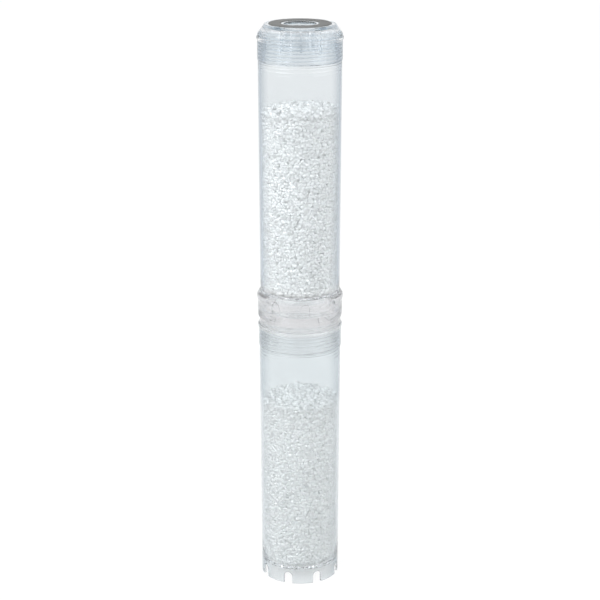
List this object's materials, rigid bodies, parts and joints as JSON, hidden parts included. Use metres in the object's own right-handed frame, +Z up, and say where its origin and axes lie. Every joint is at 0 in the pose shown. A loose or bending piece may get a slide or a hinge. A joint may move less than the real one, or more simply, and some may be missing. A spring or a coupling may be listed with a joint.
{
  "type": "anti-scale filter cartridge",
  "caption": "Tall clear refillable water filter cartridge: stacked tubes of white anti-scale crystals, a screw cap with a flat gasket and outlet, and a notched foot.",
  "frame": {"origin": "centre of the foot, on the plane that the foot's teeth stand on", "axes": "+Z up the cartridge's axis, from the foot to the outlet; +X to the picture's right, -Y towards the camera"},
  "size_m": [0.0764, 0.0764, 0.508],
  "materials": {
    "clear_plastic": "clear moulded plastic, glossy",
    "hazy_plastic": "clear moulded plastic, slightly hazy",
    "crystals": "glassy white crystals",
    "gasket_rubber": "matt dark grey rubber"
  },
  "bodies": {
    "root": {"lower_tube": "hazy_plastic", "lower_crystals": "crystals", "connector": "clear_plastic", "upper_tube": "clear_plastic", "upper_crystals": "crystals", "cap": "clear_plastic", "gasket": "gasket_rubber"}
  },
  "joints": []
}
